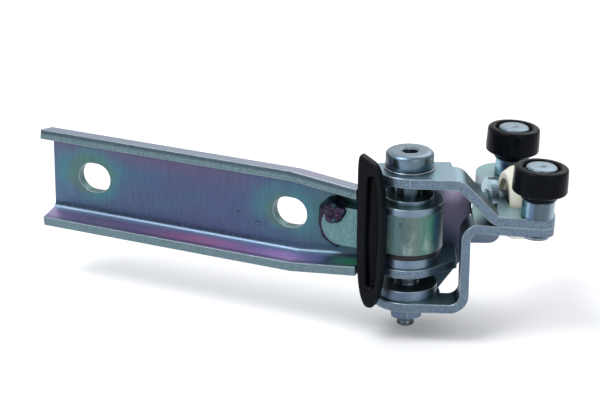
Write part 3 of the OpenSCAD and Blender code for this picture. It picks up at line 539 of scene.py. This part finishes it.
def addPiece(name, points, faces, material, body, smooth=True):
    # points in mm in the row frame
    mesh = bpy.data.meshes.new(name)
    mesh.from_pydata((np.asarray(points) * mm).tolist(), [], faces)
    mesh.polygons.foreach_set("use_smooth", [smooth] * len(mesh.polygons))
    mesh.materials.append(material)
    mesh.update()
    piece = bpy.data.objects.new(name, mesh)
    bpy.context.scene.collection.objects.link(piece)
    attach(piece, body)
    return piece


def gridFaces(rows, columns, closeRows=False):
    # quads between neighbouring rows and columns of a grid whose rows run round
    r = np.arange(rows if closeRows else rows - 1)
    i, j = (a.ravel() for a in np.meshgrid(r, np.arange(columns), indexing="ij"))
    iNext, jNext = (i + 1) % rows, (j + 1) % columns
    return np.stack((i * columns + j, i * columns + jNext, iNext * columns + jNext, iNext * columns + j), 1)


def closeMesh(mesh, reachMm):
    # merges points that lie together and turns all faces outward
    shape = bmesh.new()
    shape.from_mesh(mesh)
    bmesh.ops.remove_doubles(shape, verts=shape.verts, dist=reachMm * mm)
    bmesh.ops.recalc_face_normals(shape, faces=shape.faces)
    shape.to_mesh(mesh)
    shape.free()


def axisFrame(axis, aside):
    # right-handed axes with the third along axis and the first near aside
    third = np.array(axis) / np.linalg.norm(axis)
    first = np.array(aside) - third * np.dot(aside, third)
    first /= np.linalg.norm(first)
    return first, np.cross(third, first), third


def roundProfile(corners, steps):
    # corners are (radius, height, rounding); each rounding is an arc that touches both sides
    points = []
    pts = np.array([c[:2] for c in corners], float)
    for i, corner in enumerate(corners):
        r = corner[2] if len(corner) > 2 else 0
        if r == 0 or i in (0, len(corners) - 1):
            points.append(pts[i])
            continue
        before, after = pts[i - 1] - pts[i], pts[i + 1] - pts[i]
        b, a = before / np.linalg.norm(before), after / np.linalg.norm(after)
        half = np.arccos(np.clip(np.dot(a, b), -1, 1)) / 2
        reach = r / np.tan(half)
        middle = pts[i] + (a + b) / np.linalg.norm(a + b) * r / np.sin(half)
        start, end = pts[i] + b * reach - middle, pts[i] + a * reach - middle
        turn = np.arctan2(start[0] * end[1] - start[1] * end[0], np.dot(start, end))
        for t in np.linspace(0, turn, steps + 1):
            points.append(middle + np.array([start[0] * np.cos(t) - start[1] * np.sin(t),
                                             start[0] * np.sin(t) + start[1] * np.cos(t)]))
    return np.array(points)


roundSegments = 96  # round every turned piece
aroundAxis = np.linspace(0, 2 * np.pi, roundSegments, endpoint=False)


def latheSurface(profile, centre, axes):
    # each profile point (r, h) goes round the axis: centre + r(cos a, sin a) + h axis
    a = aroundAxis
    r, h = profile[:, 0][:, None], profile[:, 1][:, None]
    first, second, third = axes
    return (np.asarray(centre) + (r * np.cos(a))[..., None] * first + (r * np.sin(a))[..., None] * second
            + (h * np.ones_like(a))[..., None] * third)


def lathePiece(name, corners, centre, axes, material, body, steps, closed=False):
    # closed: the profile is a loop round a ring; otherwise it starts and ends on the axis
    profile = roundProfile(corners, steps)
    if closed:
        points = latheSurface(profile, centre, axes)
        faces = gridFaces(len(profile), roundSegments, closeRows=True)
        return addPiece(name, points.reshape(-1, 3), faces[:, ::-1].tolist(), material, body)
    inner = profile[1:-1]
    points = latheSurface(inner, centre, axes).reshape(-1, 3)
    faces = gridFaces(len(inner), roundSegments)[:, ::-1].tolist()
    ends = [np.asarray(centre) + profile[i][1] * axes[2] for i in (0, -1)]
    low, high, last = len(points), len(points) + 1, (len(inner) - 1) * roundSegments
    ring = np.arange(roundSegments)
    nextRing = (ring + 1) % roundSegments
    faces += [[low, a, b] for a, b in zip(nextRing.tolist(), ring.tolist())][::-1]
    faces += [[high, last + a, last + b] for a, b in zip(ring.tolist(), nextRing.tolist())]
    points = np.vstack((points, ends))
    return addPiece(name, points, faces, material, body)


# guide rollers, riveted stems and the load roller; sizes in mm, heights above the roller plate
rollerAxes = axisFrame(frontAxis, -rollerLine)
guide = {
    "stemHeight": 6.1, "play": 0.15, "hubR": 6.0, "hubHeight": 1.5, "topR": 8.9, "lowR": 9.1, "height": 9.4,
    "recess": 1.6, "neckR": 3.0, "bushWall": 1.2, "rivetR": 5.15, "rivetT": 1.5, "tailR": 5.0, "tailT": 0.9,
    "stemR": 5.4, "shankR": 3.6, "plates": 6.3,
}
rimLow = guide["stemHeight"] + guide["play"] + guide["hubHeight"]
rimTop = rimLow + guide["height"]
recessFloor = rimTop - guide["recess"]
guideBore = guide["neckR"] + guide["bushWall"] + 0.05
rivetLow = recessFloor + guide["play"]

for side, centre in (("front", frontPlace), ("rear", rearPlace)):
    tyre = lathePiece(side + "GuideTyre", (
        (guideBore, rimLow - guide["hubHeight"], 0.1), (guide["hubR"], rimLow - guide["hubHeight"], 0.5),
        (guide["hubR"] + 0.25, rimLow - 0.35, 0.25), (guide["lowR"] - 1.9, rimLow, 0.3),
        (guide["lowR"], rimLow + 1.1, 0.7), (guide["lowR"], rimLow + 3.6, 0.4),
        (guide["topR"], rimTop - 0.2, 1.0),
        (guide["rivetR"] + 1.6, rimTop, 0.4), (guide["rivetR"] + 1.0, rimTop - 0.7, 0.3),
        (guide["rivetR"] + 0.8, recessFloor, 0.2), (guideBore, recessFloor, 0.1)),
        centre, rollerAxes, plastic["tyre"], side + "_roller", steps=5, closed=True)
    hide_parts(side + "_guide_roller")
    stem = lathePiece(side + "RivetedStem", (
        (0, -guide["plates"] - guide["tailT"]),
        (guide["tailR"] - 0.4, -guide["plates"] - guide["tailT"], 0.35),
        (guide["tailR"], -guide["plates"], 0.15), (guide["shankR"], -guide["plates"], 0.1),
        (guide["shankR"], 0, 0.1),
        (guide["stemR"], 0, 0.35), (guide["stemR"], guide["stemHeight"], 0.45),
        (guide["neckR"], guide["stemHeight"], 0.2), (guide["neckR"], rivetLow, 0.1),
        (guide["rivetR"], rivetLow, 0.2), (guide["rivetR"], rivetLow + guide["rivetT"] - 0.35, 0.3),
        (guide["rivetR"] - 0.6, rivetLow + guide["rivetT"], 0.3),
        (1.3, rivetLow + guide["rivetT"] + 0.05, 0.3),
        (0.7, rivetLow + guide["rivetT"] - 0.25, 0.2), (0, rivetLow + guide["rivetT"] - 0.25)),
        centre, rollerAxes, metal["stem"], "carriage", steps=4)
    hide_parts(side + "_roller_stem")

wheel = {"r": 12.4, "half": 4.5, "bore": 4.25, "recessR": 8.0, "recess": 1.6, "shoulder": 2.2}
wheelAxes = axisFrame(loadAxis, up)
wheelPiece = lathePiece("creamLoadWheel", (
    (wheel["bore"], wheel["recess"] - wheel["half"], 0.1),
    (wheel["recessR"] - 0.6, wheel["recess"] - wheel["half"], 0.6),
    (wheel["recessR"], -wheel["half"] + 0.1, 0.3), (wheel["r"] - wheel["shoulder"], -wheel["half"], 0.5),
    (wheel["r"] - 0.5, wheel["shoulder"] - wheel["half"], 0.8),
    (wheel["r"], wheel["shoulder"] - wheel["half"] + 1.2, 0.8), (wheel["r"], wheel["half"] - 1.3, 0.4),
    (wheel["r"] - 1.3, wheel["half"], 0.8), (wheel["bore"], wheel["half"], 0.1)),
    loadPlace, wheelAxes, plastic["nylon"], "load_wheel", steps=5, closed=True)
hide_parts("load_roller")
axle = {"r": 3.0, "headR": 4.4, "left": -10.4, "right": 4.65, "headT": 1.4}
axlePiece = lathePiece("rivetedAxle", (
    (0, axle["left"] - axle["headT"]), (axle["headR"] * 0.55, axle["left"] - axle["headT"] + 0.05, 0.5),
    (axle["headR"], axle["left"] - axle["headT"] * 0.45, 0.5), (axle["headR"], axle["left"], 0.1),
    (axle["r"], axle["left"], 0.05), (axle["r"], axle["right"], 0.05), (axle["headR"], axle["right"], 0.1),
    (axle["headR"], axle["right"] + axle["headT"] * 0.45, 0.5),
    (axle["headR"] * 0.55, axle["right"] + axle["headT"] - 0.05, 0.5), (0, axle["right"] + axle["headT"])),
    loadPlace, wheelAxes, metal["stem"], "carriage", steps=4)
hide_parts("load_roller_axle")
print("rollers made")


carriageTurn = np.arctan2(loadAxis[1], loadAxis[0])
boltLow, boltHigh = (corner[2] for corner in nodeBox("pivot_bolt"))
headLow = nodeBox("head_washer")[1][2]
jawUnder = nodeBox("jaw_plate")[0][2]
discLow = nodeBox("clamp_disc")[0][2]
nutLow, nutHigh = (corner[2] for corner in nodeBox("pivot_nut"))
pivotFoot = pivot * (1, 1, 0)
bolt = {
    "headR": 8.0, "chamfer": 0.9, "shankR": 4.6, "threadR": 4.4, "threadDeep": 0.45, "pitch": 1.5,
    "tipR": 3.0, "tipDeep": 0.3, "tipPitch": 1.0, "domeHeight": 0.9, "socketFlats": 5.0, "socketDeep": 3.0,
}


def hexagon(a, flats):
    # distance from the centre to a hexagon's side in direction a
    return flats / 2 / np.cos((a + np.pi / 6) % (np.pi / 3) - np.pi / 6)


def makeBolt():
    # rows up the bolt, each a ring r(a); the threads add a triangle wave of (height / pitch - a / turn),
    # and the last rows go from the head's rim in to a hexagon and down the socket
    a = aroundAxis
    rows = []

    def ring(z, r):
        rows.append(np.stack((r * np.cos(a), r * np.sin(a), np.full(roundSegments, z)), 1))

    def thread(low, high, r, deep, pitch):
        for z in np.arange(low, high, pitch / 8):
            wave = np.abs(((z - low) / pitch - a / (2 * np.pi)) % 1 - 0.5) * 2
            fadeOut = np.clip((z - low) / pitch, 0, 1) * np.clip((high - z) / pitch, 0, 1)
            ring(z, r - deep * wave * fadeOut)

    for t in np.linspace(0.12, 1, 6):  # domed tip
        ring(boltLow + bolt["domeHeight"] * (1 - np.sqrt(1 - (t * 0.95) ** 2)), bolt["tipR"] * 0.9 * t)
    thread(boltLow + 1.0, discLow - 0.3, bolt["tipR"], bolt["tipDeep"], bolt["tipPitch"])
    ring(discLow, bolt["tipR"])
    ring(discLow, bolt["threadR"])
    thread(discLow + 0.2, jawUnder - 0.1, bolt["threadR"], bolt["threadDeep"], bolt["pitch"])
    ring(jawUnder, bolt["threadR"])
    ring(jawUnder, bolt["shankR"])
    ring(headLow, bolt["shankR"])
    rim, top, cut = bolt["headR"], boltHigh, bolt["chamfer"]
    for z, r in (
            (headLow, rim - 0.5), (headLow + 0.12, rim - 0.15), (headLow + 0.5, rim), (top - cut - 0.2, rim),
            (top - cut, rim - 0.06), (top - cut * 0.55, rim - cut * 0.4), (top - 0.12, rim - cut * 0.95),
            (top, rim - cut * 1.3), (top, rim - cut * 3)):
        ring(z, r)
    side = hexagon(a, bolt["socketFlats"])  # socket
    ring(top, side + 0.9)
    ring(top - 0.03, side + 0.45)
    ring(top - 0.4, side + 0.02)
    ring(top - bolt["socketDeep"] + 0.1, side)
    ring(top - bolt["socketDeep"], side * 0.93)
    points = np.array(rows)
    count = len(points)
    ends = np.array([[0, 0, boltLow], [0, 0, top - bolt["socketDeep"] - 0.6]])
    flat = np.vstack((points.reshape(-1, 3), ends)) + pivotFoot
    faces = gridFaces(count, roundSegments).tolist()
    low, high, last = count * roundSegments, count * roundSegments + 1, (count - 1) * roundSegments
    faces += [[low, (j + 1) % roundSegments, j] for j in range(roundSegments)]
    faces += [[high, last + j, last + (j + 1) % roundSegments] for j in range(roundSegments)]
    piece = addPiece("pivotBolt", flat, faces, metal["bright"], "carriage")
    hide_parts("pivot_bolt")
    return piece


def keepCrisp(piece, angle=32):
    # sharp shading where two faces meet at more than angle
    piece.data.set_sharp_from_angle(angle=np.radians(angle))


keepCrisp(makeBolt())
nutSize = {"flats": 10.0, "hexHeight": 5.3, "tipR": 3.8, "bore": 3.0}


def makeNut():
    # rings r(a) up the nut: a cone below, then a hexagon whose corners are turned off to a circle
    # at both ends
    a = aroundAxis
    flats, hexLow = nutSize["flats"], nutHigh - nutSize["hexHeight"]
    full = hexagon(a + carriageTurn, flats)
    turned = np.minimum(full, flats / 2 + 0.25)
    rows = [
        (nutLow, nutSize["bore"]), (nutLow, nutSize["tipR"] - 0.2), (nutLow + 0.2, nutSize["tipR"]),
        (hexLow - 0.1, flats / 2 - 0.25), (hexLow, turned), (hexLow + 0.35, full),
        (nutHigh - 0.35, full), (nutHigh, turned), (nutHigh, nutSize["bore"])]
    points = np.array([
        np.stack((r * np.cos(a), r * np.sin(a), np.full(roundSegments, z)), 1) for z, r in rows])
    points = points.reshape(-1, 3) + pivotFoot
    faces = gridFaces(len(rows), roundSegments, closeRows=True).tolist()
    piece = addPiece("collarNut", points, faces, metal["disc"], "carriage")
    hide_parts("pivot_nut")
    return piece


keepCrisp(makeNut(), 25)
print("bolt and nut made")


sealLow, sealHigh = nodeBox("rubber_seal")
seal = {
    "slotW": 4.2, "slotL": 38.6, "slotDeep": 3.0, "slotShift": 0.6, "fullHeight": 53.7,
    "power": 2.5, "cornerPower": 12.0, "slant": 0.55,
}


def makeSeal():
    # rings between three outlines: the superellipse rim, the slot's capsule, and the slot's middle line;
    # each ring mixes two of them and lies at its own depth, so the lips round over on both sides
    segments = 128
    a = np.linspace(0, 2 * np.pi, segments, endpoint=False)
    width, depth, height = sealHigh - sealLow
    n = np.where((a > np.pi / 2) & (a < np.pi), seal["cornerPower"], seal["power"])
    fullHeight = seal["fullHeight"]

    def power(v):
        return np.sign(v) * np.abs(v) ** (2 / n)

    rim = np.stack((power(np.cos(a)) * width / 2, power(np.sin(a)) * fullHeight / 2), 1)
    rim[:, 1] -= np.maximum(rim[:, 1], 0) * 2 / fullHeight * seal["slant"] * (rim[:, 0] + width / 2)
    straight = (seal["slotL"] - seal["slotW"]) / 2
    middleZ = np.clip(rim[:, 1] * 0.8, -straight, straight)
    middle = np.stack((np.full(segments, seal["slotShift"]), middleZ), 1)
    away = rim - middle
    away /= np.linalg.norm(away, axis=1)[:, None]
    slot = middle + away * seal["slotW"] / 2
    inward, bottom = slot - rim, depth - seal["slotDeep"]
    rows = [
        (middle, 0), (rim * 0.9, 0), (rim * 0.985, 0.15), (rim, 0.7), (rim, depth - 1.5),
        (rim * (0.985, 0.995), depth - 0.7), (rim + inward * 0.128, depth - 0.15),
        (rim + inward * 0.45, depth), (rim + inward * 0.8, depth - 0.2), (slot, depth - 0.8),
        (slot * 0.85 + middle * 0.15, bottom), (middle, bottom)]
    centre = (sealLow + sealHigh) / 2
    centre[2] = sealLow[2] + fullHeight / 2
    points = np.array([
        np.stack((centre[0] + ring[:, 0], np.full(segments, sealHigh[1] - deep), centre[2] + ring[:, 1]), 1)
        for ring, deep in rows]).reshape(-1, 3)
    piece = addPiece("rubberSeal", points, gridFaces(len(rows), segments).tolist(), plastic["rubber"], "arm")
    closeMesh(piece.data, 0.01)
    smoother = piece.modifiers.new("smoother", "SUBSURF")
    smoother.levels = smoother.render_levels = 2
    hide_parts("rubber_seal")


makeSeal()
print("seal made")


tongueLow = nodeBox("pivot_knuckle")[0]
webFront = nodeBox("tongue_weld")[1][1]
# mm; lipAt and lipWidth are shares of the crater's radius
bead = {
    "centreX": tongueLow[0] + 6.75, "tongueR": 6.75, "tongueT": 4.5, "leg": 3.3, "sideDegrees": 80.0,
    "bulge": 0.55, "ripple": 0.2, "rippleMm": 1.3, "crater": (56.2, 4.7), "craterR": 4.0,
    "craterRise": 0.8, "lipHeight": 0.75, "lipAt": 0.72, "lipWidth": 0.16,
}


def makeWeld():
    # across the bead s goes from the toe on the web to the top of the tongue's edge, bulging like an arc;
    # along it t is the angle round the tongue's end, with ripples and a slow waver of the toe
    along, across = 220, 20
    t = np.radians(np.linspace(180 - bead["sideDegrees"], 180 + bead["sideDegrees"], along))[:, None]
    s = np.linspace(0, 1, across)[None, :]
    ends = np.clip(np.minimum(t - t[0], t[-1] - t) / 0.08, 0, 1) ** 0.5
    wave = np.abs(np.sin(np.pi * t * bead["tongueR"] / bead["rippleMm"])) * bead["ripple"]
    waver = 0.25 * np.sin(5.3 * t) + 0.18 * np.sin(11.7 * t + 1)
    leg = (bead["leg"] + waver) * ends
    r = bead["tongueR"] + leg * (1 - s) ** 1.1 + bead["bulge"] * np.sin(np.pi * s) * ends - 0.05
    depth = leg * s ** 0.85 + (0.4 * np.sin(np.pi * s) + wave * np.sin(np.pi * s) ** 0.5) * ends
    x, z = bead["centreX"] + r * np.cos(t), r * np.sin(t)
    top = np.stack((x, webFront - depth, z), 2)
    innerR = bead["tongueR"] - 0.3
    under = np.stack((bead["centreX"] + innerR * np.cos(t), webFront + 0 * t, innerR * np.sin(t)), 2)
    points = np.concatenate((top, under), 1).reshape(-1, 3)
    faces = gridFaces(along, across + 1).tolist()
    faces.append(list(range(across + 1)))
    faces.append([(along - 1) * (across + 1) + j for j in range(across, -1, -1)])
    piece = addPiece("tongueWeldBead", points, faces, metal["weld"], "arm")
    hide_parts("tongue_weld")


makeWeld()


def makeCrater():
    # where the bead ended: rings about the crater with a raised lip and a lumpy sunken middle; beyond the
    # tongue's edge the skirt falls back towards the web
    rings, around = 26, 72
    u = np.linspace(0, 1, rings)[:, None]
    a = np.linspace(0, 2 * np.pi, around, endpoint=False)[None, :]
    r = bead["craterR"] * u * (1 + 0.09 * np.sin(3 * a + 1) + 0.05 * np.sin(5 * a))
    x, z = bead["crater"][0] + r * np.cos(a), bead["crater"][1] + r * np.sin(a)
    lip = bead["lipHeight"] * np.exp(-((u - bead["lipAt"]) / bead["lipWidth"]) ** 2)
    lumps = 0.4 * np.sin(1.5 * x + 1.1 * z + 0.4) * np.sin(1.9 * z - 0.9 * x + 2.3)
    lumps += 0.1 * np.sin(3.1 * x + 1.7 * z)
    beyond = np.maximum(np.hypot(x - bead["centreX"], z) - bead["tongueR"], 0)
    height = bead["tongueT"] + bead["craterRise"] + lip + lumps * (1 - u ** 4) * (u > 0.02)
    height += 0.12 * (1 - u) - 1.1 * beyond - 0.5 * u ** 12
    points = np.stack((x, webFront - height, z), 2).reshape(-1, 3)
    under = np.stack((x[-1], np.full(around, webFront - 1.2), z[-1]), 1)
    faces = gridFaces(rings, around)[:, ::-1].tolist()
    outer = (rings - 1) * around
    faces += (gridFaces(2, around) + outer).tolist()
    faces.append([outer + around + j for j in range(around)][::-1])
    piece = addPiece("weldCrater", np.vstack((points, under)), faces, metal["weld"], "arm")
    closeMesh(piece.data, 0.005)


makeCrater()
print("weld made")


# lamps in metres and watts, floor gap in mm
studio = {
    "floorGap": 2.0, "floorHalf": 3.0, "floorColour": "#f6f7f9",
    "key": {"at": (-0.25, -0.45, 0.95), "size": 0.55, "watts": 7.0},
    "fill": {"at": (0.85, -0.6, 0.35), "size": 0.6, "watts": 3.0},
    "back": {"at": (0.15, 0.8, 0.75), "size": 0.8, "watts": 3.5},
    "skyTop": "#ffffff", "skyLow": "#59616d", "sky": 0.9,
}


def addLamp(name, lamp, target):
    data = bpy.data.lights.new(name, "AREA")
    data.shape, data.size, data.energy = "SQUARE", lamp["size"], lamp["watts"]
    item = bpy.data.objects.new(name, data)
    bpy.context.scene.collection.objects.link(item)
    item.location = lamp["at"]
    item.rotation_mode = "QUATERNION"
    item.rotation_quaternion = (Vector(target) - Vector(lamp["at"])).to_track_quat("-Z", "Y")


middle = (np.array(cadLow) + np.array(cadHigh)) / 2
for lampName in ("key", "fill", "back"):
    addLamp(lampName + "Lamp", studio[lampName], middle.tolist())

world = bpy.data.worlds.new("studioWorld")
bpy.context.scene.world = world
world.use_nodes = True
worldTree = world.node_tree
worldTree.nodes.clear()
# plain light from the sky, but white wherever the camera, a reflection or a clear surface sees it
rays = addNode(worldTree, "ShaderNodeLightPath").node.outputs
skyPlace = addNode(worldTree, "ShaderNodeTexCoord", output="Generated")
skyHeight = addNode(worldTree, splitNode, inputs={0: skyPlace}, output="Z")
skyStops = ((0.0, studio["skyLow"]), (0.75, studio["skyTop"]))
skyColour = addNode(worldTree, "ShaderNodeValToRGB", {"stops": skyStops}, {0: skyHeight})
plainLight = addNode(worldTree, "ShaderNodeBackground",
                     inputs={"Color": skyColour, "Strength": studio["sky"]})
whiteSeen = addNode(worldTree, "ShaderNodeBackground", inputs={"Color": (1, 1, 1, 1), "Strength": 1.0})
seen = rays["Is Camera Ray"]
for ray in ("Is Glossy Ray", "Is Transmission Ray"):
    seen = addNode(worldTree, mathNode, {"operation": "MAXIMUM"}, {0: seen, 1: rays[ray]})
worldMix = addNode(worldTree, "ShaderNodeMixShader", inputs={0: seen, 1: plainLight, 2: whiteSeen})
addNode(worldTree, "ShaderNodeOutputWorld", inputs={"Surface": worldMix})

floorZ = cadLow[2] - studio["floorGap"] * mm
half = studio["floorHalf"]
floorMesh = bpy.data.meshes.new("studioFloor")
floorCorners = [(sideX * half, sideY * half, floorZ) for sideX, sideY in ((-1, -1), (1, -1), (1, 1), (-1, 1))]
floorMesh.from_pydata(floorCorners, [], [(0, 1, 2, 3)])
floor = bpy.data.objects.new("studioFloor", floorMesh)
bpy.context.scene.collection.objects.link(floor)
floorMaterial, _, floorShader, _ = newMaterial("paleMattFloor")
floorShader.inputs["Base Color"].default_value = toLinear(studio["floorColour"])
floorShader.inputs["Roughness"].default_value = 0.9
floorMesh.materials.append(floorMaterial)
bpy.context.scene.view_settings.view_transform = "Standard"
print("studio lit")
